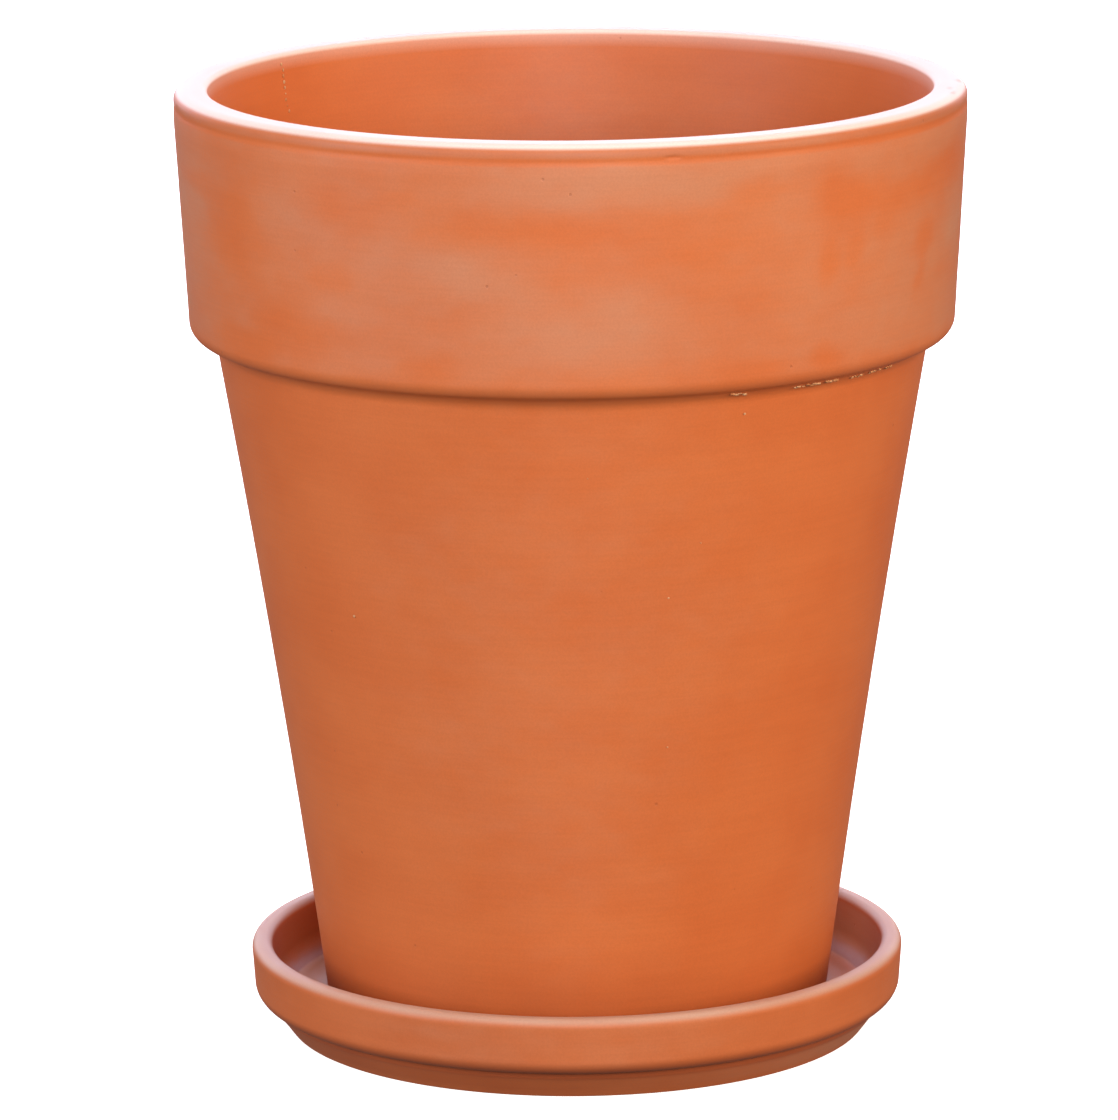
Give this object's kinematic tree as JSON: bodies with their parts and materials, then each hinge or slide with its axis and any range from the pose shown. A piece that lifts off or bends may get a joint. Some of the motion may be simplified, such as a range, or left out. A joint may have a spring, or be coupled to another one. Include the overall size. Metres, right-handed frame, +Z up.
{
  "type": "terracotta flower pot with saucer",
  "caption": "Tall tapered flower pot of unglazed terracotta with a wide plain collar and a drain hole, standing in a matching saucer that catches the water.",
  "frame": {"origin": "centre of the saucer's underside, on the common axis of pot and saucer, at the level of the surface it stands on", "axes": "+Z up along the turning axis, towards the pot's rim; X and Y are free because both pieces are turned bodies"},
  "size_m": [0.27, 0.27, 0.3293],
  "materials": {
    "pot_clay": "unglazed fired clay, matt, with a faint pale bloom",
    "saucer_clay": "unglazed fired clay, matt"
  },
  "bodies": {
    "saucer": {"saucer": "saucer_clay"},
    "pot": {"pot": "pot_clay"}
  },
  "joints": [
    {"name": "pot_lift", "type": "slide", "parent": "saucer", "child": "pot", "axis": [0, 0, 1], "range_m": [0, 0.1]}
  ]
}
